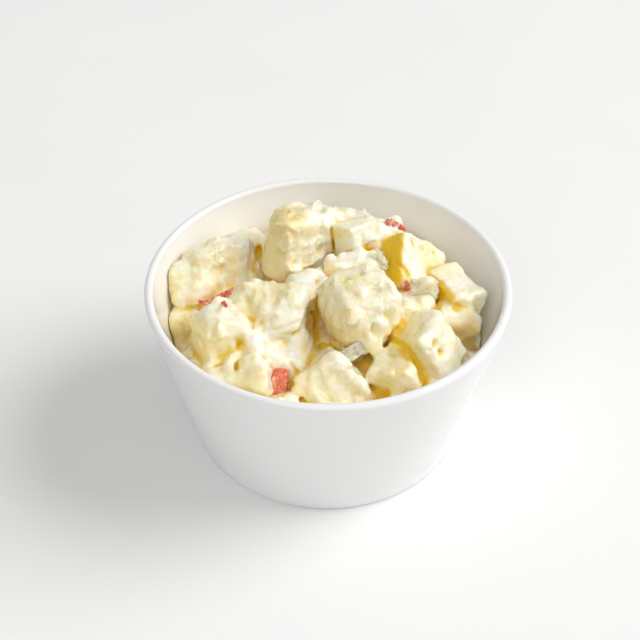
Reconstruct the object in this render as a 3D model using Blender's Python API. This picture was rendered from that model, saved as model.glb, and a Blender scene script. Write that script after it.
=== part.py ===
"""Potato salad heaped in a plain round white bowl.

Metres, +Z up, origin at the middle of the bowl's foot.
Two nodes: the glazed bowl, and the heaped salad that lies in it.
The salad is one solid out to its uneven outline: potato cubes of different
sizes that stick out of the dressed mass between them, cut to the bowl's inside.
"""
import bpy
import bmesh
import math
from mathutils import Matrix, Vector

for old in list(bpy.data.objects):
    bpy.data.objects.remove(old, do_unlink=True)

MM = 0.001

# ---- bowl ----------------------------------------------------------------
RIM_RADIUS = 60.0          # outside of the lip
BOWL_HEIGHT = 60.4         # foot to the top of the lip
FOOT_RADIUS = 45.2         # outside of the wall where it would meet the table
WALL = 3.0                 # wall and lip thickness
LIP_DROP = 1.4             # height of the lip's rounding
FLOOR = 4.8                # thickness of the bottom in the middle
HEEL = 1.3                 # rounding where the wall meets the foot ring
FOOT_RING_IN = 36.5        # inner radius of the flat foot ring
FOOT_RECESS = 1.0          # how far the underside is set back inside the ring
INNER_FILLET = 9.0         # rounding between the inner wall and the bottom
BOWL_STEPS = 72            # facets round the bowl

# ---- salad ---------------------------------------------------------------
GAP = 0.3                  # clearance between salad and bowl
MASS_TOP = 48.5            # height of the dressed mass in the middle
MASS_FALL = 9.5             # how much lower it lies at the wall
MASS_REACH = 53.0          # radius that the fall is measured at
VOXEL = 3.0                # fineness of the heap's skin
CUTTER_TOP = 95.0

# Potato pieces: middle x, y, z; length, width, height; turn about Z and lean
# about X and Y in degrees; rounding of the edges.  All in millimetres.
PIECES = [
    (-37.5, 22.0, 48.5, 23.5, 18.5, 12.5, 26, 60, 4, 3.8),
    (-47.5, 15.0, 44.5, 15.8, 15.8, 18.8, 25, 18, -10, 3.6),
    (-28.0, 34.5, 46.0, 11.5, 11.5, 14.5, 30, 0, 8, 3.6),
    (-13.0, 28.5, 62.0, 12.0, 11.0, 15.0, 35, 12, 6, 3.6),
    (-9.5, 24.5, 57.0, 24.1, 13.1, 24.1, 42, -7, 15, 3.0),
    (-3.5, 33.5, 55.0, 16.5, 12.5, 15.5, 10, 6, 0, 3.4),
    (9.5, 25.0, 57.0, 11.0, 9.0, 15.0, 42, -9, 8, 1.8),
    (7.5, 34.5, 56.0, 14.6, 10.6, 12.6, 20, 0, 0, 3.2),
    (18.0, 29.5, 55.0, 15.6, 13.6, 13.6, 12, 8, 0, 3.6),
    (28.0, 17.0, 52.0, 20.0, 17.0, 15.0, -5, 26, 42, 1.8),
    (42.0, 7.0, 49.0, 14.0, 19.0, 13.0, 27, 2, 8, 2.0),
    (42.0, -3.5, 45.0, 14.1, 13.1, 13.1, 10, 0, 6, 3.2),
    (10.5, -10.0, 58.0, 22.4, 22.4, 18.4, 32, -2, -3, 4.4),
    (9.0, 14.5, 56.0, 20.8, 9.8, 6.8, 6, 4, 2, 2.8),
    (30.5, -22.5, 49.5, 18.0, 18.0, 19.0, -22, 4, -36, 1.8),
    (22.5, -30.0, 46.0, 15.6, 14.6, 15.6, -20, 8, -20, 3.0),
    (1.0, -33.0, 43.0, 20.4, 15.4, 17.4, 4, -36, 50, 3.0),
    (-35.5, -16.5, 47.5, 15.9, 15.9, 24.9, 28, 2, 2, 3.8),
    (-20.0, -8.5, 56.0, 24.7, 16.7, 10.7, -8, 20, -6, 4.4),
    (-8.0, -1.0, 56.5, 12.8, 11.8, 10.8, 30, 0, 4, 3.4),
    (-18.5, -20.0, 47.5, 22.0, 17.0, 13.0, -12, 18, 22, 4.0),
    (-25.0, -30.0, 45.5, 14.8, 12.8, 15.8, 4, 20, -20, 3.0),
    (-48.5, 1.5, 36.5, 12.0, 13.0, 17.0, 62, 0, 0, 3.0),
    (47.5, -1.5, 33.5, 12.0, 12.0, 11.0, 40, 0, 0, 3.0),
    (-34.0, -31.0, 43.0, 13.5, 13.5, 12.5, 10, 0, 0, 3.4),
    (-27.0, 4.0, 40.0, 17.5, 14.5, 13.5, -20, 0, 0, 3.5),
    (26.0, 2.0, 46.0, 15.5, 15.5, 14.5, 20, 0, 0, 3.2),
    (-3.0, 8.0, 48.0, 14.5, 14.5, 12.5, 50, 0, 0, 3.2),
    (-30.0, 33.0, 43.0, 17.1, 16.1, 15.1, 20, -8, -8, 3.2),
    (-12.0, 41.0, 44.0, 18.0, 15.0, 16.0, 50, -8, 0, 3.0),
    (9.0, 42.0, 43.0, 16.6, 16.6, 15.6, 15, -10, 0, 3.2),
    (26.0, 36.0, 40.0, 16.0, 15.0, 15.0, 65, -8, 8, 3.0),
    (41.0, 20.0, 38.0, 15.3, 15.3, 14.3, 30, 0, 10, 3.0),
    (-17.0, -46.0, 38.0, 15.6, 13.6, 14.6, 25, 8, 0, 3.2),
    (2.0, -48.0, 36.0, 16.6, 13.6, 14.6, -10, 8, 0, 3.2),
    (20.0, -45.0, 37.0, 15.6, 14.6, 14.6, 40, 8, 0, 3.2),
    (37.0, -34.0, 41.0, 14.1, 14.1, 14.1, 10, 8, 6, 3.2),
    (47.0, -21.0, 37.0, 12.1, 13.1, 13.1, 60, 0, 0, 3.2),
    (-47.0, -20.0, 36.0, 12.5, 13.5, 13.5, 20, 0, 0, 3.2),
]


def material(name, color, roughness):
    mat = bpy.data.materials.new(name)
    mat.use_nodes = True
    shader = mat.node_tree.nodes["Principled BSDF"]
    shader.inputs["Base Color"].default_value = (*color, 1.0)
    shader.inputs["Roughness"].default_value = roughness
    shader.inputs["Metallic"].default_value = 0.0
    return mat


def link(name, bm, mat=None, smooth_angle=None):
    mesh = bpy.data.meshes.new(name)
    bm.to_mesh(mesh)
    bm.free()
    obj = bpy.data.objects.new(name, mesh)
    bpy.context.scene.collection.objects.link(obj)
    if mat:
        mesh.materials.append(mat)
    if smooth_angle is not None:
        mesh.shade_smooth()
        mesh.set_sharp_from_angle(angle=math.radians(smooth_angle))
    return obj


def turned(profile, steps):
    """Turn an (r, z) profile in mm, that starts and ends on the axis, about Z."""
    bm = bmesh.new()
    verts = [bm.verts.new((r * MM, 0.0, z * MM)) for r, z in profile]
    edges = [bm.edges.new(pair) for pair in zip(verts, verts[1:])]
    bmesh.ops.spin(bm, geom=verts + edges, cent=(0, 0, 0), axis=(0, 0, 1),
                   angle=2 * math.pi, steps=steps, use_duplicate=False)
    bmesh.ops.remove_doubles(bm, verts=bm.verts, dist=1e-6)
    bmesh.ops.recalc_face_normals(bm, faces=bm.faces)
    return bm


def arc(cx, cz, rx, rz, start, end, steps):
    for i in range(steps + 1):
        a = math.radians(start + (end - start) * i / steps)
        yield (cx + rx * math.cos(a), cz + rz * math.sin(a))


def outer_radius(z):
    return FOOT_RADIUS + (RIM_RADIUS - FOOT_RADIUS) * z / (BOWL_HEIGHT - LIP_DROP)


def inner_radius(z):
    """Inner wall, parallel to the outer one."""
    return outer_radius(z) - WALL


def inner_profile(offset, top):
    """The bowl's inside from the axis on its bottom out and up to height top,
    moved inwards by offset."""
    fillet = INNER_FILLET - offset
    floor = FLOOR + offset
    zc = floor + fillet
    rc = inner_radius(zc) - offset - fillet
    lean = math.degrees(math.atan2(RIM_RADIUS - FOOT_RADIUS, BOWL_HEIGHT))
    points = [(0.0, floor), (rc * 0.5, floor)]
    points += list(arc(rc, zc, fillet, fillet, -90, -lean, 5))
    points.append((inner_radius(top) - offset, top))
    return points


# ---- the bowl ------------------------------------------------------------
lip_z = BOWL_HEIGHT - LIP_DROP
lip_mid = RIM_RADIUS - WALL / 2
profile = [(0.0, FOOT_RECESS), (FOOT_RING_IN - 1.2, FOOT_RECESS), (FOOT_RING_IN, 0.0),
           (FOOT_RADIUS - HEEL * 0.75, 0.0), (FOOT_RADIUS, HEEL * 0.35),
           (outer_radius(HEEL), HEEL)]
profile += [(outer_radius(z), z) for z in (lip_z * 0.5,)]
profile += list(arc(lip_mid, lip_z, WALL / 2, LIP_DROP, 0, 180, 8))
profile += inner_profile(0.0, lip_z)[::-1][1:]
bowl = link("bowl", turned(profile, BOWL_STEPS),
            material("glazed_white", (0.87, 0.87, 0.86), 0.12), 35)

# ---- the inside of the bowl, that the salad is cut to ---------------------
lip_in = RIM_RADIUS - WALL - GAP
cut_profile = inner_profile(GAP, lip_z) + [(lip_in, CUTTER_TOP), (0.0, CUTTER_TOP)]
cavity = link("salad_cutter", turned(cut_profile, BOWL_STEPS))
cavity.hide_render = True
cavity.display_type = "WIRE"

# ---- the salad -----------------------------------------------------------
# the dressed mass: a low dome that reaches past the bowl's inside all round
dome = [(0.0, -4.0), (66.0, -4.0)]
for i in range(12, -1, -1):
    r = 66.0 * i / 12
    dome.append((r, MASS_TOP - MASS_FALL * (r / MASS_REACH) ** 3))
heap = turned(dome, 48)

for x, y, z, sx, sy, sz, turn, lean_x, lean_y, edge in PIECES:
    piece = bmesh.ops.create_cube(heap, size=1.0)["verts"]
    bmesh.ops.scale(heap, verts=piece, vec=Vector((sx, sy, sz)) * MM)
    sides = list({e for v in piece for e in v.link_edges})
    bevelled = bmesh.ops.bevel(heap, geom=sides, offset=edge * MM, segments=2,
                               profile=0.5, affect="EDGES")
    verts = list({v for f in bevelled["faces"] for v in f.verts} | {v for v in piece if v.is_valid})
    placed = (Matrix.Translation(Vector((x, y, z)) * MM)
              @ Matrix.Rotation(math.radians(turn), 4, "Z")
              @ Matrix.Rotation(math.radians(lean_x), 4, "X")
              @ Matrix.Rotation(math.radians(lean_y), 4, "Y"))
    bmesh.ops.transform(heap, matrix=placed, verts=verts)

salad = link("salad", heap, material("dressed_potato", (0.90, 0.80, 0.48), 0.42))
skin = salad.modifiers.new("skin", "REMESH")
skin.mode = "VOXEL"
skin.voxel_size = VOXEL * MM
skin.adaptivity = 0.0
soften = salad.modifiers.new("soften", "SMOOTH")
soften.factor = 0.5
soften.iterations = 2
cut = salad.modifiers.new("cut to the bowl", "BOOLEAN")
cut.operation = "INTERSECT"
cut.solver = "EXACT"
cut.object = cavity
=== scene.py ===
"""Potato salad heaped in a plain round white glazed bowl.

The bowl is turned from its profile.  The heap is built from potato cubes that lie
where the photograph shows them, a smooth pale dressing that coats them and fills the
crevices, a core under both, and the bits of red skin and onion.  Light and shade are
partly painted into the heap's colour.
Lengths are in millimetres until a mesh is made.
"""
import math

import bpy
import numpy as np
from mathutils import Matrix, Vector


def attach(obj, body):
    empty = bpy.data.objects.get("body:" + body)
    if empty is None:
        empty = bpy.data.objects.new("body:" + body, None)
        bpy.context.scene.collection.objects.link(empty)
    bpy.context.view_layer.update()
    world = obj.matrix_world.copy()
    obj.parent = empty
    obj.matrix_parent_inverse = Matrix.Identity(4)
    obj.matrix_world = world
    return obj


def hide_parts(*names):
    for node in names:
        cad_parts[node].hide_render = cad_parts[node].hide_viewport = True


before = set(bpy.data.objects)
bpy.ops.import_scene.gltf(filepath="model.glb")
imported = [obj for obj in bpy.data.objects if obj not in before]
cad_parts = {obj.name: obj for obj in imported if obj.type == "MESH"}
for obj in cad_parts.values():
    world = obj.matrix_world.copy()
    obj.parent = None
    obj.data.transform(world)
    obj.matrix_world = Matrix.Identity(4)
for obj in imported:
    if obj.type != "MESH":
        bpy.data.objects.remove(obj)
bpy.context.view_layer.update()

STEP = 0.5          # spacing of the heap's grid
SEED = 11

# ---------------------------------------------------------------- view -----
PITCH = math.radians(40.32)           # the camera looks down by this much
FOCAL = 1500.0                        # in pixels of the 640 x 640 image
RIM_R, RIM_Z = 60.0, 60.4
FORWARD = np.array([0.0, math.cos(PITCH), -math.sin(PITCH)])
TOWARD = -FORWARD
RIGHT = np.array([1.0, 0.0, 0.0])
UP = np.array([0.0, math.sin(PITCH), math.cos(PITCH)])
EYE = np.array([0.0, 0.0, RIM_Z]) - 8.163 * RIM_R * ((8.1 * RIGHT + 38.6 * UP) / FOCAL + FORWARD)


def sight(px, py):
    """Direction from the camera through a pixel of the photograph."""
    return FORWARD + RIGHT * (px - 320.0) / FOCAL - UP * (py - 320.0) / FOCAL


def at_height(px, py, z):
    line = sight(px, py)
    return EYE + line * (z - EYE[2]) / line[2]


# ---------------------------------------------------------- fields ---------
def inner_radius(z):
    """Inside of the bowl's wall."""
    return 57.0 - 0.2508 * (59.0 - z)


def value_noise(rng, shape, step, cell):
    """Smooth noise over a grid, about -1 to 1, with lumps of about one cell,
    which is one size or one for each axis."""
    weights, sizes = [], []
    for n, size in zip(shape, np.broadcast_to(cell, 3)):
        t = np.arange(n) * step / size
        i = np.floor(t).astype(int)
        f = t - i
        f = f * f * f * (f * (f * 6 - 15) + 10)
        w = np.zeros((n, i.max() + 2), np.float32)
        w[np.arange(n), i] = 1 - f
        w[np.arange(n), i + 1] += f
        weights.append(w)
        sizes.append(i.max() + 2)
    lattice = rng.uniform(-1, 1, sizes).astype(np.float32)
    a = np.tensordot(weights[0], lattice, (1, 0))
    a = np.tensordot(weights[1], a, (1, 1)).transpose(1, 0, 2)
    return a @ weights[2].T


def turn(yaw, lean_x, lean_y):
    a, b, c = np.radians([yaw, lean_x, lean_y])
    rz = np.array([[np.cos(a), -np.sin(a), 0], [np.sin(a), np.cos(a), 0], [0, 0, 1]])
    rx = np.array([[1, 0, 0], [0, np.cos(b), -np.sin(b)], [0, np.sin(b), np.cos(b)]])
    ry = np.array([[np.cos(c), 0, np.sin(c)], [0, 1, 0], [-np.sin(c), 0, np.cos(c)]])
    return rz @ rx @ ry


def smooth_min(a, b, k):
    h = np.maximum(k - np.abs(a - b), 0) / k
    return np.minimum(a, b) - h * h * k * 0.25


def surface_nets(f, origin, step):
    """Vertices and quads of the surface where f is 0, f < 0 being inside."""
    s = f < 0
    nx, ny, nz = f.shape
    count = np.zeros((nx - 1, ny - 1, nz - 1), np.int8)
    for dx in (0, 1):
        for dy in (0, 1):
            for dz in (0, 1):
                count += s[dx:nx - 1 + dx, dy:ny - 1 + dy, dz:nz - 1 + dz]
    ii, jj, kk = np.nonzero((count > 0) & (count < 8))
    index = -np.ones(count.shape, np.int32)
    index[ii, jj, kk] = np.arange(len(ii))
    total = np.zeros((len(ii), 3))
    n = np.zeros(len(ii))
    corners = [(0, 0, 0), (1, 0, 0), (0, 1, 0), (1, 1, 0),
               (0, 0, 1), (1, 0, 1), (0, 1, 1), (1, 1, 1)]
    edges = [(0, 1), (2, 3), (4, 5), (6, 7), (0, 2), (1, 3),
             (4, 6), (5, 7), (0, 4), (1, 5), (2, 6), (3, 7)]
    values = [f[ii + a, jj + b, kk + c].astype(np.float64) for a, b, c in corners]
    for a, b in edges:
        va, vb = values[a], values[b]
        cross = (va < 0) != (vb < 0)
        t = np.where(cross, va / np.where(cross, va - vb, 1), 0)
        pa, pb = np.array(corners[a], float), np.array(corners[b], float)
        total += np.where(cross[:, None], pa + (pb - pa) * t[:, None], 0)
        n += cross
    verts = (total / n[:, None] + np.stack([ii, jj, kk], 1)) * step + np.asarray(origin)
    quads = []
    for axis, (u, v) in enumerate(((1, 2), (2, 0), (0, 1))):
        low, high = [slice(None)] * 3, [slice(None)] * 3
        low[axis], high[axis] = slice(0, -1), slice(1, None)
        a, b = s[tuple(low)], s[tuple(high)]
        for flip, m in ((False, a & ~b), (True, ~a & b)):
            p = np.stack(np.nonzero(m), 1)
            ok = (p[:, u] > 0) & (p[:, u] < f.shape[u] - 1) & (p[:, v] > 0) & (p[:, v] < f.shape[v] - 1)
            p = p[ok]

            def cell(du, dv):
                q = p.copy()
                q[:, u] += du
                q[:, v] += dv
                return index[q[:, 0], q[:, 1], q[:, 2]]

            q4 = np.stack([cell(-1, -1), cell(0, -1), cell(0, 0), cell(-1, 0)], 1)
            quads.append(q4[:, ::-1] if flip else q4)
    return verts, np.concatenate(quads)


def box_blur(a, radius, times=3):
    """Blur over the grid by repeated running means."""
    for axis in range(3):
        for _ in range(times):
            pad = [(0, 0)] * 3
            pad[axis] = (radius + 1, radius)
            c = np.cumsum(np.pad(a, pad, mode="edge"), axis=axis, dtype=np.float32)
            n = a.shape[axis]
            take = [slice(None)] * 3
            drop = [slice(None)] * 3
            take[axis] = slice(2 * radius + 1, 2 * radius + 1 + n)
            drop[axis] = slice(0, n)
            a = (c[tuple(take)] - c[tuple(drop)]) / (2 * radius + 1)
    return a


# ---------------------------------------------------------- the heap -------
# Potato pieces by the pixel of their middle in the photograph and its height;
# size; turn and leans in degrees; rounding; how thickly the dressing coats it;
# how curled the dressing's surface is.
SEEN = [
    ("A", 219, 268, 48.5, 23, 18, 12, 26, 60, 4, 3.8, 0.60, 0.9),
    ("A2", 188, 290, 44.5, 15, 15, 18, 25, 18, -10, 3.6, 0.8, 0.3),
    ("A3", 247, 252, 46.0, 11, 11, 14, 30, 0, 8, 3.6, 0.6, 0.3),
    ("B", 289, 225, 62.0, 12, 11, 15, 35, 12, 6, 3.6, 0.30, 0.6),
    ("C", 300, 244, 57.0, 24, 13, 24, 42, -7, 15, 3.4, 0.45, 0.75),
    ("E1", 318, 233, 55.0, 16, 12, 15, 10, 6, 0, 3.4, 0.6, 0.5),
    ("D", 355, 243, 57.0, 11, 9, 15, 42, -9, 8, 1.8, 0.25, 0.1),
    ("E", 350, 229, 56.0, 14, 10, 12, 20, 0, 0, 3.2, 0.7, 0.6),
    ("F",  380, 240, 55.0, 15, 13, 13, 12, 8, 0, 3.6, 0.7, 0.8),
    ("G",  411, 269, 52.0, 20, 17, 15, -5, 26, 42, 1.8, 0.12, 0.0),
    ("H",  453, 295, 49.0, 14, 19, 13, 27, 2, 8, 2.0, 0.12, 0.0),
    ("H2", 454, 324, 45.0, 14, 13, 13, 10, 0, 6, 3.2, 0.4, 0.2),
    ("J", 360, 307, 58.0, 22, 22, 18, 32, -2, -3, 4.8, 0.55, 0.5),
    ("K", 354, 265, 55.8, 20, 9, 6, 6, 4, 2, 2.8, 0.8, 0.2),
    ("L",  424, 352, 49.5, 18, 18, 19, -22, 4, -36, 1.8, 0.12, 0.0),
    ("M", 399, 376, 46.0, 15, 14, 15, -20, 8, -20, 3.0, 0.7, 0.2),
    ("O",  331, 389, 43.0, 20, 15, 17, 4, -36, 50, 3.0, 0.55, 0.4),
    ("P", 218, 344, 47.5, 15, 15, 24, 28, 2, 2, 3.8, 0.9, 0.3),
    ("Q", 267, 308, 56.0, 24, 16, 10, -8, 20, -6, 4.4, 0.75, 0.6),
    ("Qr", 304, 293, 56.5, 12, 11, 10, 30, 0, 4, 3.4, 0.8, 0.3),
    ("Q2", 271, 352, 47.5, 21, 16, 12, -12, 18, 22, 4.0, 0.95, 0.3),
    ("R", 250, 377, 45.5, 14, 12, 15, 4, 20, -20, 3.0, 0.8, 0.3),
    ("T", 184, 334, 36.5, 12, 13, 17, 62, 0, 0, 3.0, 0.2, 0.1),
    ("U", 468, 346, 33.5, 12, 12, 11, 40, 0, 0, 3.0, 0.1, 0.1),
    ("V",  222, 385, 43.0, 13, 13, 12, 10, 0, 0, 3.4, 0.6, 0.2),
]
# The pieces low between those, and at the back, by x, y and z.
UNSEEN = [
    ("Y1", -27, 4, 40, 17, 14, 13, -20, 0, 0, 3.5, 0.6, 0.3),
    ("Y2", 26, 2, 46, 15, 15, 14, 20, 0, 0, 3.2, 0.6, 0.3),
    ("Y3", -3, 8, 48, 14, 14, 12, 50, 0, 0, 3.2, 0.6, 0.3),
    ("X1", -30, 33, 43, 17, 16, 15, 20, -8, -8, 3.2, 0.4, 0.3),
    ("X2", -12, 41, 44, 18, 15, 16, 50, -8, 0, 3.0, 0.3, 0.3),
    ("X3", 9, 42, 43, 16, 16, 15, 15, -10, 0, 3.2, 0.7, 0.3),
    ("X4", 26, 36, 40, 16, 15, 15, 65, -8, 8, 3.0, 0.3, 0.3),
    ("X5", 41, 20, 38, 15, 15, 14, 30, 0, 10, 3.0, 0.5, 0.3),
    ("Z1", -17, -46, 38, 15, 13, 14, 25, 8, 0, 3.2, 0.7, 0.3),
    ("Z2", 2, -48, 36, 16, 13, 14, -10, 8, 0, 3.2, 0.7, 0.3),
    ("Z3", 20, -45, 37, 15, 14, 14, 40, 8, 0, 3.2, 0.7, 0.3),
    ("Z4", 37, -34, 41, 14, 14, 14, 10, 8, 6, 3.2, 0.4, 0.3),
    ("Z5", 47, -21, 37, 12, 13, 13, 60, 0, 0, 3.2, 0.4, 0.3),
    ("Z6", -47, -20, 36, 12, 13, 13, 20, 0, 0, 3.2, 0.6, 0.3),
]
# Painted shade: how strongly each piece is coloured amber on its sides that face left, away from the key light.
LEFT_SIDE_SHADE = {"G": 1.3, "H": 0.75, "L": 0.2, "H2": 0.8, "U": 1.3, "C": 0.1, "B": 0.3, "T": 0.3}
# Hollows (depth below the surface first) and lumps of dressing, by pixel:
# px, py, radius across, radius up, radius in depth
HOLLOWS = [
    (436, 345, 1.8, 1.9, 1.5), (440, 352, 1.6, 1.2, 1.6), (431, 351, 1.2, 1.0, 1.0),
    (413, 243, 2.2, 1.2, 0.5), (423, 249, 2.0, 1.0, 0.55), (434, 254, 1.7, 1.0, 0.45),
    (457, 307, 2.2, 1.6, 1.4), (268, 356, 2.0, 1.4, 1.1), (236, 366, 1.0, 2.0, 2.6),
    (217, 364, 1.6, 1.2, 0.8), (374, 266, 2.0, 1.4, 2.2), (196, 310, 2.0, 1.6, 3.2),
    (324, 346, 2.4, 1.2, 3.6), (337, 348, 2.2, 1.0, 3.4), (361, 366, 3.0, 3.0, 4.5),
    (259, 252, 1.4, 3.4, 3.6),
]
# Creases between the pieces: pixels along each, its half width, how strongly amber painted shade lies along it.
CREASES = [
    ([(390, 338), (400, 343), (407, 348), (413, 357), (418, 367), (423, 380)], 0.9, 1.0),
    ([(316, 280), (322, 288), (318, 296)], 0.8, 0.4), ([(317, 304), (315, 318), (315, 330), (317, 341)], 0.7, 1.0),
    ([(316, 343), (325, 347), (335, 348)], 0.8, 1.0), ([(258, 248), (258, 258), (255, 270)], 0.9, 0.9),
    ([(262, 331), (280, 329), (297, 321)], 0.4, 0.15), ([(243, 345), (240, 358), (238, 368)], 0.5, 0.25),
    ([(291, 363), (296, 372), (293, 385)], 0.6, 0.4), ([(311, 312), (310, 322), (311, 334)], 0.3, 1.0),
    ([(400, 350), (404, 354), (409, 361)], 0.3, 1.0), ([(447, 298), (453, 303), (460, 306)], 0.6, 0.7),
    ([(395, 262), (404, 268), (408, 276)], 0.7, 0.8), ([(333, 236), (333, 248), (337, 258)], 0.4, 0.1),
]
# Spots of browner flesh colour, partly where more of the flesh shows and partly painted shade, dark brown above a
# strength of 1: pixel, radius and strength.
FLESH_SPOTS_AND_SHADE = [
    (286, 217, 8.0, 1.0), (222, 275, 11.0, 0.35), (272, 229, 3.5, 0.8), (410, 330, 5.0, 0.7), (187, 330, 6.0, 1.35), (462, 334, 5.0, 1.2),
    (470, 322, 3.5, 0.8), (468, 344, 5.5, 1.8), (216, 292, 4.0, 0.8), (225, 355, 4.0, 0.6), (310, 352, 3.5, 0.8), (397, 370, 4.5, 0.8),
    (254, 370, 4.5, 0.7), (430, 254, 7.0, 0.35), (182, 288, 6.0, 0.35), (268, 300, 7.0, 0.3), (350, 305, 6.0, 0.25),
    (297, 212, 3.5, 0.5), (222, 372, 4.0, 0.3),
]
# Spots painted paler (above 0) and yellower (below 0), partly the dressing's own tint and partly painted light over
# shaded places and painted shade: pixel, radius, strength.
TINT_LIGHT_AND_SHADE = [
    (320, 255, 9.5, 0.70), (362, 246, 5.0, 0.60), (319, 290, 5.0, 0.30), (425, 262, 9.0, -0.60), (344, 244, 4.5, 0.50), (326, 310, 6.0, 0.45), (286, 336, 8.5, 1.00),
    (262, 300, 9.0, -0.60), (352, 285, 7.0, -0.25), (180, 300, 6.0, 0.25), (286, 214, 6.0, -0.90), (222, 275, 11.0, -0.35), (270, 262, 5.0, 0.20),
    (458, 335, 6.0, -0.50), (403, 350, 5.0, -0.50),
]
LUMPS = [
    (345, 213, 2.0, 1.6, 1.6), (338, 214, 1.3, 1.0, 1.0), (253, 277, 1.7, 2.0, 1.3),
    (376, 333, 2.2, 4.6, 1.2), (371, 346, 1.8, 2.2, 1.0), (383, 325, 2.0, 1.6, 1.3),
    (218, 302, 1.7, 2.0, 1.6), (224, 314, 1.4, 2.6, 1.2), (248, 286, 2.6, 1.5, 1.4),
    (233, 262, 1.8, 2.4, 1.3), (241, 268, 1.5, 1.5, 1.0), (306, 293, 4.4, 2.8, 1.6),
    (284, 224, 4.4, 1.1, 1.0), (262, 384, 2.6, 3.6, 1.6), (299, 385, 3.0, 3.6, 1.3),
    (307, 326, 2.8, 4.6, 2.6), (300, 338, 3.0, 2.6, 2.0),
    (284, 327, 5.0, 2.4, 1.6),
    (338, 322, 2.2, 3.0, 0.9), (352, 316, 1.6, 3.4, 0.8), (348, 286, 1.6, 3.0, 0.8),
]

origin = np.array([-57.5, -57.5, 28.0])
shape = tuple(int(n / STEP) + 1 for n in (115.0, 115.0, 46.0))
gx, gy, gz = [(o + np.arange(n) * STEP).astype(np.float32) for o, n in zip(origin, shape)]
X, Y, Z = np.meshgrid(gx, gy, gz, indexing="ij")
rng = np.random.default_rng(SEED)


def noise(cell):
    return value_noise(rng, shape, STEP, cell)


def window(middle, reach):
    a = [max(0, int((c - reach - o) / STEP)) for c, o in zip(middle, origin)]
    b = [min(n, int((c + reach - o) / STEP) + 2) for c, o, n in zip(middle, origin, shape)]
    return tuple(slice(p, q) for p, q in zip(a, b))


def first_hit(field, px, py):
    """Where the line of sight through a pixel first meets the field's inside,
    and the outward normal there."""
    line = sight(px, py)
    line = line / np.linalg.norm(line)
    start = at_height(px, py, 74.0)
    points = start + line * np.arange(0, 70, 0.2)[:, None]
    at = np.round((points - origin) / STEP).astype(int)
    ok = ((at >= 1) & (at < np.array(shape) - 1)).all(1)
    at, points = at[ok], points[ok]
    inside = np.nonzero(field[at[:, 0], at[:, 1], at[:, 2]] < 0)[0]
    i = inside[0] if len(inside) else len(at) - 1
    a = at[i]
    g = np.array([field[a[0] + 2 - 1, a[1], a[2]] - field[a[0] - 1, a[1], a[2]],
                  field[a[0], a[1] + 1, a[2]] - field[a[0], a[1] - 1, a[2]],
                  field[a[0], a[1], a[2] + 1] - field[a[0], a[1], a[2] - 1]])
    return points[i], g / max(np.linalg.norm(g), 1e-6)


wide = [1.1 * noise(12) + 0.75 * noise(6) for _ in range(3)]
radius = np.sqrt(X * X + Y * Y)
potato = np.full(shape, 9.0, np.float32)
coat_sum = np.zeros(shape, np.float32)
curl_sum = np.zeros(shape, np.float32)
left_side_shade_sum = np.zeros(shape, np.float32)
share = np.full(shape, 1e-4, np.float32)
pieces = []
for row in SEEN:
    pieces.append((at_height(*row[1:4]),) + row[4:] + (LEFT_SIDE_SHADE.get(row[0], 0.0),))
for row in UNSEEN:
    pieces.append((np.array(row[1:4], float),) + row[4:] + (0.1,))
for middle, sx, sy, sz, yaw, lean_x, lean_y, edge, coat, curl, left_side_shade in pieces:
    s = window(middle, math.sqrt(sx * sx + sy * sy + sz * sz) / 2 + 5)
    p = np.stack([X[s] - middle[0] + wide[0][s], Y[s] - middle[1] + wide[1][s],
                  Z[s] - middle[2] + wide[2][s]], -1)
    p = p @ turn(yaw, lean_x, lean_y).astype(np.float32)
    q = np.abs(p) - (np.array([sx, sy, sz], np.float32) / 2 - edge)
    d = np.sqrt((np.maximum(q, 0) ** 2).sum(-1)) + np.minimum(q.max(-1), 0) - edge
    potato[s] = smooth_min(potato[s], d, 0.8)
    w = np.exp(-np.maximum(d, 0) / 1.5) * np.clip(2.5 - d, 0, 1)
    coat_sum[s] += w * coat
    curl_sum[s] += w * curl
    left_side_shade_sum[s] += w * left_side_shade
    share[s] += w
coat = coat_sum / share
curl = curl_sum / share
left_side_shade = left_side_shade_sum / share
fine = noise(2.6)
grain = noise(1.5)
potato += 0.26 * fine + 0.12 * grain

# the dressing: thick on the tops and in the crevices, thin on steep cut faces, and thicker on the sides that face the
# key light; as thin dressing is coloured yellower, that lean is painted shade
up = np.gradient(potato, STEP, axis=2)
side = np.gradient(potato, STEP, axis=0)
thick = (-0.75 + 1.75 * coat + 0.55 * noise(7) + 0.35 * noise(3.6) + 0.35 * np.clip(up, -1, 1)
         + 0.60 * np.clip(side, -1, 1))
worm_a, worm_b = noise((3.6, 3.6, 7.5)), noise((6.5, 3.0, 4.0))
ridges = (1 - np.minimum(1, np.abs(worm_a) * 2.6)) + 0.6 * (1 - np.minimum(1, np.abs(worm_b) * 2.8))
curds = curl * ridges
thick += 0.95 * curds - 0.40 * curl
swell = box_blur(potato, max(1, int(round(1.0 / STEP))), 2)
mass = (Z - (47.0 - 9.5 * (radius / 53.0) ** 3)) * 0.8 + 1.6 * noise(9)
dressing = smooth_min(swell, mass, 3.4) - np.clip(thick, -1.2, 1.7)
dressing += 0.42 * noise(3.4) + 0.28 * fine + 0.15 * grain

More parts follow.
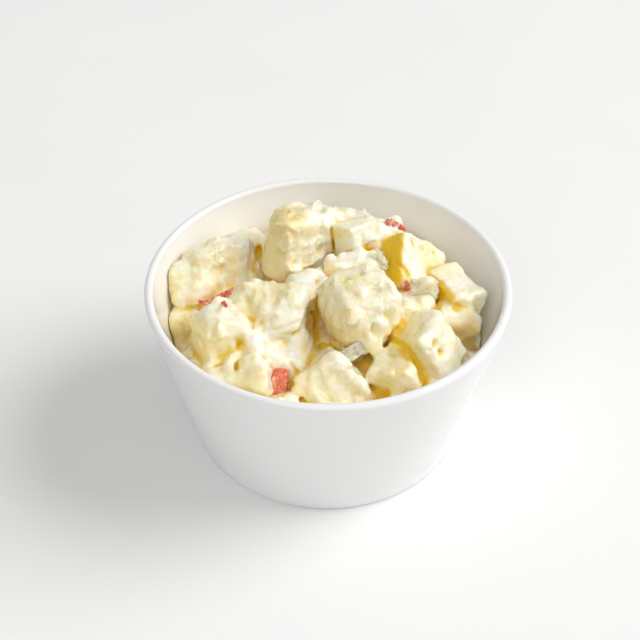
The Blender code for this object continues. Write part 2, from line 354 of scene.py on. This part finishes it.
for px, py, ra, ru, rd in HOLLOWS:
    at, normal = first_hit(np.minimum(dressing, potato), px, py)
    s = window(at, max(ra, ru, rd) + 3)
    p = np.stack([X[s] - at[0], Y[s] - at[1], Z[s] - at[2]], -1)
    look = sight(px, py) / np.linalg.norm(sight(px, py))
    d = np.sqrt((p @ RIGHT / ra) ** 2 + (p @ UP / ru) ** 2 + (p @ look / rd) ** 2) - 1
    d = -d * min(ra, ru, rd) + 0.25 * fine[s]
    potato[s] = -smooth_min(-potato[s], -d, 0.9)
    dressing[s] = -smooth_min(-dressing[s], -d, 0.9)
for px, py, ra, ru, rd in LUMPS:
    at, normal = first_hit(np.minimum(dressing, potato), px, py)
    s = window(at, max(ra, ru, rd) + 3)
    p = np.stack([X[s] - at[0], Y[s] - at[1], Z[s] - at[2]], -1)
    look = sight(px, py) / np.linalg.norm(sight(px, py))
    d = np.sqrt((p @ RIGHT / ra) ** 2 + (p @ UP / ru) ** 2 + (p @ look / rd) ** 2) - 1
    dressing[s] = smooth_min(dressing[s], d * min(ra, ru, rd) + 0.3 * fine[s] + 0.2, 2.2)

crease = np.full(shape, 9.0, np.float32)
# painted shade: amber colour laid along the creases
crease_shade = np.zeros(shape, np.float32)
for pixels, half, strength in CREASES:
    knots = np.array([first_hit(np.minimum(dressing, potato), px, py)[0] for px, py in pixels])
    for a, b in zip(knots, knots[1:]):
        for t in np.arange(0, 1, 0.6 / max(np.linalg.norm(b - a), 0.6)):
            at = a + (b - a) * t
            s = window(at, 3.5)
            d = np.sqrt((X[s] - at[0]) ** 2 + (Y[s] - at[1]) ** 2 + (Z[s] - at[2]) ** 2) - half
            crease[s] = np.minimum(crease[s], d)
            crease_shade[s] = np.maximum(crease_shade[s], strength * np.clip((1.8 - d) / 2.2, 0, 1))
potato = -smooth_min(-potato, crease + 0.3 * fine, 0.8)
dressing = -smooth_min(-dressing, crease + 0.3 * fine, 0.8)

# browner flesh colour in spots, in part painted shade
flesh_spots_and_shade = np.zeros(shape, np.float32)
for px, py, reach, strength in FLESH_SPOTS_AND_SHADE:
    at, normal = first_hit(np.minimum(dressing, potato), px, py)
    s = window(at, reach * 1.6)
    d = np.sqrt((X[s] - at[0]) ** 2 + (Y[s] - at[1]) ** 2 + (Z[s] - at[2]) ** 2) / reach + 0.35 * fine[s]
    flesh_spots_and_shade[s] = np.maximum(flesh_spots_and_shade[s], strength * np.clip(1.4 - d, 0, 1))

# painted light and shade in spots, partly the dressing's own tint
tint_light_and_shade = np.zeros(shape, np.float32)
for px, py, reach, strength in TINT_LIGHT_AND_SHADE:
    at, normal = first_hit(np.minimum(dressing, potato), px, py)
    s = window(at, reach * 1.6)
    d = np.sqrt((X[s] - at[0]) ** 2 + (Y[s] - at[1]) ** 2 + (Z[s] - at[2]) ** 2) / reach + 0.35 * fine[s]
    tint_light_and_shade[s] += strength * np.clip(1.4 - d, 0, 1)

# a film of it passes over the bare flesh too, which shows through there
bare = np.clip((dressing - potato) / 0.5 + 0.5, 0, 1)
dressing = smooth_min(dressing, potato - 0.08, 0.5)
wall = (radius - inner_radius(Z) + 0.35) * 0.97
dressing = np.maximum(np.maximum(dressing, wall), 36.0 - Z)
potato = np.maximum(potato, wall + 0.2)
both = dressing

# how deep a point lies in a crevice, and how much sticks out; these masks lay amber painted shade into the colour
solid = (both < 0).astype(np.float32)
near = box_blur(solid, max(1, int(round(1.0 / STEP))))
far = box_blur(solid, max(1, int(round(2.2 / STEP))))
wide_in = box_blur(solid, max(1, int(round(3.6 / STEP))))
slope = box_blur(np.gradient(both, STEP, axis=0), max(1, int(round(0.6 / STEP))), 1)
# painted light and shade: how much a point faces the key light, to the right and up, with the painted spots added
key_side_light = 0.78 * slope + 0.60 * box_blur(np.gradient(both, STEP, axis=2), max(1, int(round(0.6 / STEP))), 1)
key_side_light += tint_light_and_shade
# painted shade: amber where a point faces left, away from the key light, when closed in, on the pieces listed for it,
# and along the creases; less in the paler spots
left = np.clip((0.20 - slope) / 1.05, 0, 1)
painted_amber_shade = np.maximum(np.clip((wide_in - 0.47) / 0.22, 0, 1) * left, left_side_shade * left * 1.25)
painted_amber_shade = np.maximum(painted_amber_shade, crease_shade)
painted_amber_shade *= 1 - np.clip(tint_light_and_shade, 0, 1)
# painted light: less crevice shade on the sides that face the key light and in the paler spots
wide_in = wide_in - 0.25 * np.clip(slope, 0, 1) - 0.30 * np.clip(tint_light_and_shade, 0, 1)


def sample(field, verts):
    t = (verts - origin) / STEP
    i = np.clip(np.floor(t).astype(int), 0, np.array(shape) - 2)
    f = np.clip(t - i, 0, 1)
    out = 0
    for a in (0, 1):
        for b in (0, 1):
            for c in (0, 1):
                w = (f[:, 0] if a else 1 - f[:, 0]) * (f[:, 1] if b else 1 - f[:, 1]) * (f[:, 2] if c else 1 - f[:, 2])
                out = out + w * field[i[:, 0] + a, i[:, 1] + b, i[:, 2] + c]
    return out


def mesh_object(name, verts, quads, material, slot, limit=190000):
    me = bpy.data.meshes.new(name)
    me.vertices.add(len(verts))
    me.vertices.foreach_set("co", (np.asarray(verts) / 1000).astype(np.float32).ravel())
    me.loops.add(len(quads) * 4)
    me.loops.foreach_set("vertex_index", quads.astype(np.int32).ravel())
    me.polygons.add(len(quads))
    me.polygons.foreach_set("loop_start", np.arange(len(quads), dtype=np.int32) * 4)
    me.update(calc_edges=True)
    me.validate()
    me.shade_smooth()
    obj = bpy.data.objects.new(name, me)
    bpy.context.scene.collection.objects.link(obj)
    if len(quads) * 2 > limit:
        thin = obj.modifiers.new("fewer", "DECIMATE")
        thin.ratio = limit / (len(quads) * 2)
        graph = bpy.context.evaluated_depsgraph_get()
        reduced = bpy.data.meshes.new_from_object(obj.evaluated_get(graph))
        obj.modifiers.clear()
        obj.data = reduced
        reduced.name = name
        reduced.shade_smooth()
    obj.data.materials.clear()
    obj.data.materials.append(material)
    return obj


def put(obj, name, values):
    a = obj.data.attributes.new(name, "FLOAT", "POINT")
    a.data.foreach_set("value", np.asarray(values, np.float32))


def points_of(obj):
    co = np.zeros(len(obj.data.vertices) * 3, np.float32)
    obj.data.vertices.foreach_get("co", co)
    return co.reshape(-1, 3) * 1000.0


# ---------------------------------------------------------- materials ------
def shader(name, **values):
    mat = bpy.data.materials.new(name)
    mat.use_nodes = True
    bsdf = mat.node_tree.nodes["Principled BSDF"]
    for key, value in values.items():
        socket = bsdf.inputs[key.replace("_", " ")]
        socket.default_value = (*value, 1.0) if socket.type == "RGBA" else value
    return mat, mat.node_tree, bsdf


def node(tree, kind, **settings):
    n = tree.nodes.new(kind)
    for key, value in settings.items():
        if key in n.inputs:
            n.inputs[key].default_value = value
        else:
            setattr(n, key, value)
    return n


def join(tree, a, b):
    tree.links.new(a, b)


def noise_node(tree, scale, detail=3.0, rough=0.55, distort=0.0):
    where = node(tree, "ShaderNodeTexCoord")
    n = node(tree, "ShaderNodeTexNoise", Scale=scale, Detail=detail, Roughness=rough, Distortion=distort)
    join(tree, where.outputs["Object"], n.inputs["Vector"])
    return n.outputs["Fac"]


def ramp(tree, fac, stops):
    n = node(tree, "ShaderNodeValToRGB")
    r = n.color_ramp
    while len(r.elements) < len(stops):
        r.elements.new(0.5)
    for e, (pos, colour) in zip(r.elements, stops):
        e.position = pos
        e.color = (*colour, 1.0) if len(colour) == 3 else colour
    join(tree, fac, n.inputs["Fac"])
    return n.outputs["Color"]


def span(tree, fac, a, b, to_a=0.0, to_b=1.0):
    n = node(tree, "ShaderNodeMapRange")
    n.interpolation_type = "SMOOTHSTEP"
    join(tree, fac, n.inputs["Value"])
    for key, value in (("From Min", a), ("From Max", b), ("To Min", to_a), ("To Max", to_b)):
        n.inputs[key].default_value = value
    return n.outputs["Result"]


def mix(tree, fac, a, b, mode="MIX"):
    n = tree.nodes.new("ShaderNodeMix")
    n.data_type = "RGBA"
    n.blend_type = mode
    for value, socket in ((fac, n.inputs[0]), (a, n.inputs[6]), (b, n.inputs[7])):
        if isinstance(value, bpy.types.NodeSocket):
            join(tree, value, socket)
        elif isinstance(value, tuple):
            socket.default_value = (*value, 1.0)
        else:
            socket.default_value = value
    return n.outputs[2]


def math_node(tree, op, a, b=0.0):
    n = node(tree, "ShaderNodeMath", operation=op)
    for value, socket in zip((a, b), n.inputs):
        if isinstance(value, bpy.types.NodeSocket):
            join(tree, value, socket)
        else:
            socket.default_value = value
    return n.outputs[0]


def bump(tree, bsdf, height, distance, strength=1.0):
    n = node(tree, "ShaderNodeBump", Strength=strength, Distance=distance)
    join(tree, height, n.inputs["Height"])
    join(tree, n.outputs["Normal"], bsdf.inputs["Normal"])


def attribute(tree, name):
    n = node(tree, "ShaderNodeAttribute")
    n.attribute_name = name
    return n.outputs["Fac"]


def lit_and_shaded_sides(tree, under, over):
    """Painted light and shade: paler on the sides that face the key light and up, yellower on the sides turned from it.
    """
    return mix(tree, span(tree, attribute(tree, "key_side_light"), -0.55, 0.95), under, over)


def flesh_tone_and_shade(tree, base):
    """Browner where the flesh shows; painted shade: dark brown on shadowed pieces, amber on the sides turned from the
    key light and deeper into the crevices.
    """
    # browner in the listed spots, partly the flesh's own colour and partly painted shade
    base = mix(tree, span(tree, attribute(tree, "flesh_spots_and_shade"), 0.0, 1.0, 0.0, 0.8), base, (0.81, 0.66, 0.30))
    # painted shade: dark brown on the shadowed pieces
    base = mix(tree, span(tree, attribute(tree, "flesh_spots_and_shade"), 1.0, 1.6, 0.0, 0.75), base, (0.56, 0.40, 0.13))
    # painted shade: amber deeper into the crevices, and on the sides turned from the key light
    base = mix(tree, span(tree, attribute(tree, "sunk"), 0.54, 0.76, 0.0, 0.6), base, (0.89, 0.705, 0.155))
    base = mix(tree, span(tree, attribute(tree, "painted_amber_shade"), 0.10, 0.95, 0.0, 1.0), base, (0.86, 0.585, 0.02))
    base = mix(tree, span(tree, attribute(tree, "hollow"), 0.55, 0.70, 0.0, 0.85), base, (0.88, 0.63, 0.06))
    return mix(tree, span(tree, attribute(tree, "deep"), 0.66, 0.84), base, (0.82, 0.54, 0.02))


def flesh(tree, mealy):
    """Colour of the potato's flesh, with painted light and shade by side."""
    patch = noise_node(tree, 95.0, 3.0, 0.5)
    base = mix(tree, span(tree, patch, 0.32, 0.68), lit_and_shaded_sides(tree, (0.89, 0.73, 0.29), (0.93, 0.88, 0.71)),
               lit_and_shaded_sides(tree, (0.91, 0.78, 0.36), (0.95, 0.905, 0.77)))
    return mix(tree, span(tree, mealy, 0.35, 0.75, 0.0, 0.5), base, (0.91, 0.85, 0.66))


def potato_material():
    mat, tree, bsdf = shader("potato_flesh", Subsurface_Weight=1.0, Subsurface_Radius=(1.0, 0.66, 0.12),
                             Subsurface_Scale=0.0014, Specular_IOR_Level=0.4)
    mealy = noise_node(tree, 420.0, 5.0, 0.62)
    join(tree, flesh_tone_and_shade(tree, flesh(tree, mealy)), bsdf.inputs["Base Color"])
    join(tree, span(tree, mealy, 0.2, 0.8, 0.58, 0.34), bsdf.inputs["Roughness"])
    bump(tree, bsdf, mealy, 0.00045, 0.8)
    return mat


def dressing_material():
    """Creamy and glossy where it lies thick, the mealy flesh showing where it is a film."""
    mat, tree, bsdf = shader("creamy_dressing", Subsurface_Weight=1.0, Subsurface_Radius=(1.0, 0.70, 0.15),
                             Subsurface_Scale=0.0014, Specular_IOR_Level=0.38, Coat_Roughness=0.22)
    bare = attribute(tree, "bare")
    mealy = noise_node(tree, 420.0, 5.0, 0.62)
    patch = noise_node(tree, 120.0, 4.0, 0.55)
    fleck = noise_node(tree, 700.0, 3.0, 0.6)
    curds = noise_node(tree, 300.0, 3.0, 0.5, 0.6)
    # painted light and shade by side, as on the flesh, under the dressing's own patches
    base = mix(tree, span(tree, patch, 0.30, 0.70), lit_and_shaded_sides(tree, (0.89, 0.74, 0.31), (0.93, 0.885, 0.72)),
               lit_and_shaded_sides(tree, (0.91, 0.79, 0.38), (0.95, 0.91, 0.78)))
    base = mix(tree, span(tree, curds, 0.48, 0.66, 0.0, 0.35), base, (0.92, 0.87, 0.72))
    # yellower where the dressing is thin, which leans to the sides turned from the key light and so is partly painted
    # shade
    base = mix(tree, span(tree, attribute(tree, "thick"), 0.9, -0.2, 0.0, 0.4), base, (0.87, 0.74, 0.38))
    base = mix(tree, span(tree, attribute(tree, "curd"), 0.12, 0.6, 0.0, 0.4), base, (0.92, 0.87, 0.72))
    base = mix(tree, span(tree, fleck, 0.62, 0.80, 0.0, 0.3), base, (0.92, 0.89, 0.78))
    base = mix(tree, span(tree, bare, 0.25, 0.75), base, flesh(tree, mealy))
    join(tree, flesh_tone_and_shade(tree, base), bsdf.inputs["Base Color"])
    wet = mix(tree, span(tree, bare, 0.2, 0.8), (0.30, 0.30, 0.30), (0.45, 0.45, 0.45))
    join(tree, math_node(tree, "ADD", wet, math_node(tree, "MULTIPLY", patch, 0.12)), bsdf.inputs["Roughness"])
    join(tree, span(tree, attribute(tree, "painted_amber_shade"), 0.1, 0.7, 0.6, 0.0), bsdf.inputs["Coat Weight"])
    lumps = math_node(tree, "ADD", noise_node(tree, 330.0, 4.0, 0.55), math_node(tree, "MULTIPLY", fleck, 0.35))
    relief = mix(tree, span(tree, bare, 0.25, 0.75), lumps, math_node(tree, "MULTIPLY", mealy, 0.9))
    bump(tree, bsdf, relief, 0.00070, 0.9)
    return mat


def core_material():
    mat, tree, bsdf = shader("soft_core", Subsurface_Weight=0.3, Subsurface_Radius=(1.0, 0.6, 0.2),
                             Subsurface_Scale=0.0008)
    # painted shade: a deep amber for the shaded depths of the gaps
    base = ramp(tree, noise_node(tree, 260.0, 4.0), [(0.3, (0.74, 0.50, 0.03)), (0.7, (0.82, 0.61, 0.10))])
    join(tree, base, bsdf.inputs["Base Color"])
    join(tree, span(tree, noise_node(tree, 500.0), 0.3, 0.7, 0.35, 0.6), bsdf.inputs["Roughness"])
    bump(tree, bsdf, noise_node(tree, 420.0, 4.0), 0.0006, 0.8)
    return mat


def glaze_material():
    mat, tree, bsdf = shader("white_glaze", Specular_IOR_Level=0.5, IOR=1.5)
    cloud = noise_node(tree, 26.0, 3.0, 0.5)
    speck = noise_node(tree, 900.0, 2.0, 0.5)
    base = ramp(tree, cloud, [(0.3, (0.84, 0.84, 0.842)), (0.7, (0.865, 0.865, 0.867))])
    base = mix(tree, span(tree, speck, 0.74, 0.82, 0.0, 0.25), base, (0.74, 0.73, 0.70))
    join(tree, base, bsdf.inputs["Base Color"])
    join(tree, span(tree, cloud, 0.3, 0.7, 0.12, 0.19), bsdf.inputs["Roughness"])
    skin = math_node(tree, "ADD", noise_node(tree, 60.0, 2.0, 0.4), math_node(tree, "MULTIPLY", noise_node(tree, 420.0, 2.0, 0.5), 0.08))
    bump(tree, bsdf, skin, 0.0006, 0.15)
    return mat


def floor_material():
    mat, tree, bsdf = shader("floor", Specular_IOR_Level=0.2)
    grain = noise_node(tree, 14.0, 2.0)
    join(tree, ramp(tree, grain, [(0.3, (0.845, 0.847, 0.846)), (0.7, (0.86, 0.86, 0.858))]), bsdf.inputs["Base Color"])
    join(tree, span(tree, grain, 0.3, 0.7, 0.7, 0.8), bsdf.inputs["Roughness"])
    return mat


def skin_material():
    mat, tree, bsdf = shader("red_skin", Subsurface_Weight=0.4, Subsurface_Radius=(1.0, 0.35, 0.2),
                             Subsurface_Scale=0.0006, Specular_IOR_Level=0.5)
    blotch = noise_node(tree, 520.0, 3.0, 0.6, 0.4)
    base = ramp(tree, blotch, [(0.28, (0.46, 0.05, 0.03)), (0.46, (0.66, 0.13, 0.08)), (0.58, (0.86, 0.42, 0.28)), (0.70, (0.94, 0.72, 0.54))])
    join(tree, base, bsdf.inputs["Base Color"])
    join(tree, span(tree, blotch, 0.3, 0.7, 0.26, 0.42), bsdf.inputs["Roughness"])
    bump(tree, bsdf, noise_node(tree, 1300.0, 3.0), 0.0003, 0.5)
    return mat


def red_flesh_material():
    mat, tree, bsdf = shader("red_piece", Subsurface_Weight=0.6, Subsurface_Radius=(1.0, 0.35, 0.22),
                             Subsurface_Scale=0.0009, Specular_IOR_Level=0.5)
    fibre = noise_node(tree, 560.0, 4.0, 0.6, 1.2)
    base = ramp(tree, fibre, [(0.30, (0.58, 0.08, 0.03)), (0.50, (0.74, 0.15, 0.06)), (0.62, (0.84, 0.36, 0.20)), (0.76, (0.90, 0.70, 0.54))])
    join(tree, base, bsdf.inputs["Base Color"])
    join(tree, span(tree, fibre, 0.3, 0.7, 0.24, 0.4), bsdf.inputs["Roughness"])
    bump(tree, bsdf, noise_node(tree, 900.0, 3.0), 0.0004, 0.6)
    return mat


def onion_material():
    mat, tree, bsdf = shader("onion", Subsurface_Weight=1.0, Subsurface_Radius=(1.0, 0.9, 0.7),
                             Subsurface_Scale=0.0016, Specular_IOR_Level=0.6, Coat_Weight=0.7, Coat_Roughness=0.12)
    vein = noise_node(tree, 380.0, 3.0, 0.5, 1.5)
    base = ramp(tree, vein, [(0.3, (0.82, 0.74, 0.50)), (0.7, (0.93, 0.89, 0.72))])
    join(tree, base, bsdf.inputs["Base Color"])
    join(tree, span(tree, vein, 0.3, 0.7, 0.14, 0.28), bsdf.inputs["Roughness"])
    bump(tree, bsdf, vein, 0.0005, 0.5)
    return mat


POTATO, DRESSING, CORE = potato_material(), dressing_material(), core_material()

# ---------------------------------------------------------- the heap's meshes
heap_parts = []
for name, field, mat, limit in (("potato_cubes", potato, POTATO, 110000), ("dressing", dressing, DRESSING, 198000)):
    f = field.copy()
    f[0], f[-1], f[:, 0], f[:, -1], f[:, :, 0], f[:, :, -1] = 1, 1, 1, 1, 1, 1
    verts, quads = surface_nets(f, origin, STEP)
    print(name, len(quads) * 2, "triangles before", flush=True)
    obj = mesh_object(name, verts, quads, mat, "dressed_potato", limit)
    p = points_of(obj)
    put(obj, "hollow", sample(near, p))
    put(obj, "deep", sample(far, p))
    put(obj, "thick", sample(thick, p))
    put(obj, "sunk", sample(wide_in, p))
    put(obj, "curd", sample(curds, p))
    put(obj, "painted_amber_shade", sample(painted_amber_shade, p))
    put(obj, "key_side_light", sample(key_side_light, p))
    put(obj, "flesh_spots_and_shade", sample(flesh_spots_and_shade, p))
    put(obj, "bare", sample(bare, p))
    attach(obj, "root")
    heap_parts.append(obj)

# ---------------------------------------------------------- the small bits --
SKIN, FLESH, ONION = skin_material(), red_flesh_material(), onion_material()


def nearest_mesh(name, points, radii, step, rough, material, slot):
    """A rounded body round a cloud of points, radii thick, with an uneven skin."""
    points = np.asarray(points, float)
    radii = np.broadcast_to(np.asarray(radii, float), (len(points),))
    lo = points.min(0) - radii.max() - 3 * step
    n = tuple(np.ceil((points.max(0) + radii.max() + 3 * step - lo) / step).astype(int) + 1)
    x, y, z = [a + np.arange(k) * step for a, k in zip(lo, n)]
    f = np.full(n, 3 * step)
    for (a, b, c), r in zip(points, radii):
        i, j, k = [slice(max(0, int((m - r - l) / step) - 3), int((m + r - l) / step) + 5) for m, l in zip((a, b, c), lo)]
        f[i, j, k] = np.minimum(f[i, j, k], np.sqrt((x[i, None, None] - a) ** 2 + (y[None, j, None] - b) ** 2
                                                    + (z[None, None, k] - c) ** 2) - r)
    f += rough * value_noise(rng, n, step, 1.3) + 0.5 * rough * value_noise(rng, n, step, 0.6)
    verts, quads = surface_nets(f, lo, step)
    return mesh_object(name, verts, quads, material, slot)


def follow(px, py, lift=0.0):
    """The point on the heap that shows at a pixel, lifted off it."""
    at, normal = first_hit(both, px, py)
    return at + normal * lift


def along(pixels, lift, spacing=0.35):
    """Points along a line over the heap through the pixels, that bridges the gaps."""
    knots = np.array([follow(px, py, lift) for px, py in pixels])
    depth = (knots - EYE) @ FORWARD
    near_by = np.clip(depth, np.median(depth) - 1.5, np.median(depth) + 1.5)
    knots = EYE + (knots - EYE) * (near_by / depth)[:, None]
    out = []
    for a, b in zip(knots, knots[1:]):
        k = max(2, int(np.linalg.norm(b - a) / spacing))
        out += [a + (b - a) * i / k for i in range(k)]
    return np.array(out + [knots[-1]])


def ribbon(pixels, width, lift):
    """Points of a narrow strip that lies on the heap along the pixels."""
    line = along(pixels, lift)
    ahead = np.gradient(line, axis=0)
    ahead /= np.linalg.norm(ahead, axis=1)[:, None]
    across = np.cross(ahead, TOWARD)
    across /= np.linalg.norm(across, axis=1)[:, None]
    t = np.linspace(0, 1, len(line))
    half = 0.5 * width * (0.55 + 0.45 * np.sin(math.pi * t) ** 0.6) * (1 + 0.25 * np.sin(9 * t + 1.0))
    return np.concatenate([line + across * (half * k)[:, None] for k in np.linspace(-1, 1, 7)])


def sheet_points(middle, across, along_, half_a, half_b, bend, wave, rib=0.0, ragged=0.3, spacing=0.42):
    """Points on a curled sheet about a middle, spanned by two directions."""
    across = across / np.linalg.norm(across)
    along_ = along_ - across * (along_ @ across)
    along_ = along_ / np.linalg.norm(along_)
    out = np.cross(across, along_)
    pts = []
    for i in np.arange(-half_a, half_a + 1e-6, spacing):
        for j in np.arange(-half_b, half_b + 1e-6, spacing):
            u, v = i / half_a, j / half_b
            power = 3 if ragged else 8
            if abs(u) ** power + abs(v) ** power > 1.05 + ragged * math.sin(5.0 * math.atan2(v, u) + 1.0):
                continue
            lift = bend * (1 - u * u) + wave * math.sin(2.4 * u + 1.7 * v) + 0.5 * wave * math.sin(5.0 * v - 2.2 * u)
            lift += rib * math.cos(9.0 * v + 0.6 * u)
            pts.append(middle + across * i + along_ * j + out * lift)
    return np.array(pts)


bits = {"red_skin": [], "onion_bits": [], "red_piece": []}
bits["red_skin"].append((ribbon([(199, 301), (205, 303), (212, 300), (219, 297), (226, 294), (233, 291), (241, 287)], 1.3, 0.3) + 1.4 * TOWARD, 0.30))
bits["red_skin"].append((ribbon([(403, 279), (405, 285), (408, 291)], 1.7, 1.3), 0.32))
bits["red_skin"].append((ribbon([(387, 224), (391, 222), (395, 225), (399, 228), (404, 231)], 2.3, 0.2), 0.30))
bits["red_skin"].append((ribbon([(223, 302), (225, 308)], 1.2, 0.2), 0.28))


def separate(name, parts, step, rough, material, slot):
    """Every part meshed by itself, joined in one object."""
    made = [nearest_mesh(name, points, size, step, rough, material, slot) for points, size in parts]
    if len(made) > 1:
        with bpy.context.temp_override(active_object=made[0], selected_editable_objects=made, selected_objects=made):
            bpy.ops.object.join()
    made[0].name = name
    made[0].data.name = name
    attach(made[0], "root")
    return made[0]


# onion: a curled piece by the red bit, a fold under the right cube, one in the gap
i_mid = follow(424, 292, 1.0) + 1.5 * TOWARD
bits["onion_bits"].append((sheet_points(i_mid, RIGHT + 0.1 * UP, UP + 0.1 * TOWARD, 4.7, 4.4, 1.3, 1.1, 0.05), 0.30))
k_mid = follow(381, 261, 0.4)
bits["onion_bits"].append((sheet_points(k_mid, RIGHT * 0.6 - UP * 0.8, RIGHT * 0.7 + UP * 0.5 + TOWARD * 0.4, 3.4, 1.7, 0.6, 0.5), 0.30))
n_mid = at_height(358, 349, 52.5)
bits["onion_bits"].append((sheet_points(n_mid, RIGHT + 0.6 * UP, UP + 0.1 * TOWARD, 5.2, 2.5, 0.7, 0.4, 0.14), 0.30))
s_mid, s_normal = first_hit(both, 279, 385)
s_up = UP - s_normal * (UP @ s_normal) * 0.6
piece = sheet_points(s_mid + s_normal * 0.5 + TOWARD * 0.9, RIGHT - 0.05 * UP, s_up, 2.0, 4.7, 0.15, 0.12, 0.0, 0.0)
bits["red_piece"].append((piece, 0.75))
separate("red_skin", bits["red_skin"], 0.16, 0.08, SKIN, "red_skin")
separate("onion_bits", bits["onion_bits"], 0.2, 0.08, ONION, "onion")
separate("red_piece", bits["red_piece"], 0.24, 0.14, FLESH, "red_skin")

# the core, coarse and out of sight but for the deepest gaps; its deep amber colour is painted shade for those gaps
coarse = 2.0
cs = tuple(int(n / coarse) + 1 for n in (116.0, 116.0, 48.0))
co = np.array([-58.0, -58.0, 2.0])
CX, CY, CZ = np.meshgrid(*[(o + np.arange(n) * coarse).astype(np.float32) for o, n in zip(co, cs)], indexing="ij")
cr = np.sqrt(CX * CX + CY * CY)
core_f = (CZ - (45.0 - 11.0 * (cr / 53.0) ** 3)) * 0.9 + 1.5 * value_noise(rng, cs, coarse, 9)
core_f = np.maximum(core_f, cr - inner_radius(CZ) + 0.6)
core_f = np.maximum(core_f, np.hypot(np.maximum(cr - 36.0, 0), np.maximum(15.0 - CZ, 0)) - 9.3)
core_f = np.maximum(core_f, 5.4 - CZ)
core_f[0], core_f[-1], core_f[:, 0], core_f[:, -1], core_f[:, :, 0], core_f[:, :, -1] = 1, 1, 1, 1, 1, 1
verts, quads = surface_nets(core_f, co, coarse)
core = mesh_object("soft_core", verts, quads, CORE, "dressed_potato")
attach(core, "root")
heap_parts.append(core)
for obj in heap_parts:
    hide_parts("salad")

# ---------------------------------------------------------- the bowl -------


def arc(cx, cz, rx, rz, start, end, steps):
    return [(cx + rx * math.cos(math.radians(start + (end - start) * i / steps)),
             cz + rz * math.sin(math.radians(start + (end - start) * i / steps))) for i in range(steps + 1)]


def outer(z):
    return 45.2 + 14.8 * z / 59.0


profile = [(0.0, 1.0), (18.0, 1.0), (34.6, 1.0)] + arc(35.4, 0.75, 0.8, 0.25, 90, 45, 3) + [(36.5, 0.0), (40.0, 0.0)]
profile += arc(43.9, 1.3, 1.3, 1.3, -90, -15, 7)
profile = [p for p in profile if p[0] <= 45.6]
profile += [(outer(z), z) for z in (1.9, 4, 8, 14, 22, 31, 40, 48, 54, 57.5)]
profile += arc(58.5, 59.0, 1.5, 1.4, 0, 180, 20)
profile += [(inner_radius(z), z) for z in (57.5, 54, 49, 43, 36, 29, 22, 17)]
profile += arc(inner_radius(14.0) - 9.0, 13.8, 9.0, 9.0, -12, -90, 10)
profile += [(24.0, 4.8), (12.0, 4.8), (0.0, 4.8)]
profile = [(min(r, 60.0), min(z, 60.4)) for r, z in profile]
ROUND = 192
ring = [2 * math.pi * i / ROUND for i in range(ROUND)]
verts, faces = [], []
for r, z in profile[1:-1]:
    verts += [(r * math.cos(a) / 1000, r * math.sin(a) / 1000, z / 1000) for a in ring]
rows = len(profile) - 2
verts += [(0, 0, profile[0][1] / 1000), (0, 0, profile[-1][1] / 1000)]
for k in range(rows - 1):
    for i in range(ROUND):
        j = (i + 1) % ROUND
        faces.append((k * ROUND + i, k * ROUND + j, (k + 1) * ROUND + j, (k + 1) * ROUND + i))
for i in range(ROUND):
    j = (i + 1) % ROUND
    faces.append((rows * ROUND, j, i))
    faces.append((rows * ROUND + 1, (rows - 1) * ROUND + i, (rows - 1) * ROUND + j))
me = bpy.data.meshes.new("glazed_bowl")
me.from_pydata(verts, [], faces)
me.validate()
me.shade_smooth()
me.set_sharp_from_angle(angle=math.radians(50))
bowl = bpy.data.objects.new("glazed_bowl", me)
bpy.context.scene.collection.objects.link(bowl)
me.materials.append(glaze_material())
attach(bowl, "root")
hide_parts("bowl")

# ---------------------------------------------------------- the scene ------
me = bpy.data.meshes.new("floor")
me.from_pydata([(-3, -3, 0), (3, -3, 0), (3, 3, 0), (-3, 3, 0)], [], [(0, 1, 2, 3)])
floor = bpy.data.objects.new("floor", me)
me.materials.append(floor_material())
bpy.context.scene.collection.objects.link(floor)

scene = bpy.context.scene
cam = bpy.data.objects.new("camera", bpy.data.cameras.new("camera"))
scene.collection.objects.link(cam)
cam.location = EYE / 1000
cam.rotation_euler = (math.pi / 2 - PITCH, 0, 0)
cam.data.sensor_width = 36.0
cam.data.lens = FOCAL * 36.0 / 640.0
cam.data.clip_start = 0.01
cam.data.dof.use_dof = False
scene.camera = cam


def area_light(name, place, target, size, power, colour):
    light = bpy.data.lights.new(name, "AREA")
    light.shape = "DISK"
    light.size = size
    light.energy = power
    light.color = colour
    obj = bpy.data.objects.new(name, light)
    scene.collection.objects.link(obj)
    obj.location = place
    obj.rotation_euler = (Vector(target) - Vector(place)).to_track_quat("-Z", "Y").to_euler()
    return obj


area_light("key", (2.38, 0.25, 1.97), (0, 0, 0.04), 2.3, 77.0, (1.0, 0.99, 0.975))
area_light("fill", (-0.60, -1.95, 2.30), (0, 0, 0.04), 1.8, 25.5, (1.0, 0.995, 0.985))
world = bpy.data.worlds.new("studio")
scene.world = world
world.use_nodes = True
sky = world.node_tree.nodes["Background"]
sky.inputs["Color"].default_value = (1.0, 0.995, 0.985, 1.0)
where = world.node_tree.nodes.new("ShaderNodeTexCoord")
split = world.node_tree.nodes.new("ShaderNodeSeparateXYZ")
world.node_tree.links.new(where.outputs["Generated"], split.inputs[0])
world.node_tree.links.new(span(world.node_tree, split.outputs["Z"], 0.0, 0.8, 0.37, 0.43), sky.inputs["Strength"])
scene.view_settings.view_transform = "Standard"
scene.cycles.use_denoising = True
scene.cycles.max_bounces = 16
scene.cycles.diffuse_bounces = 10
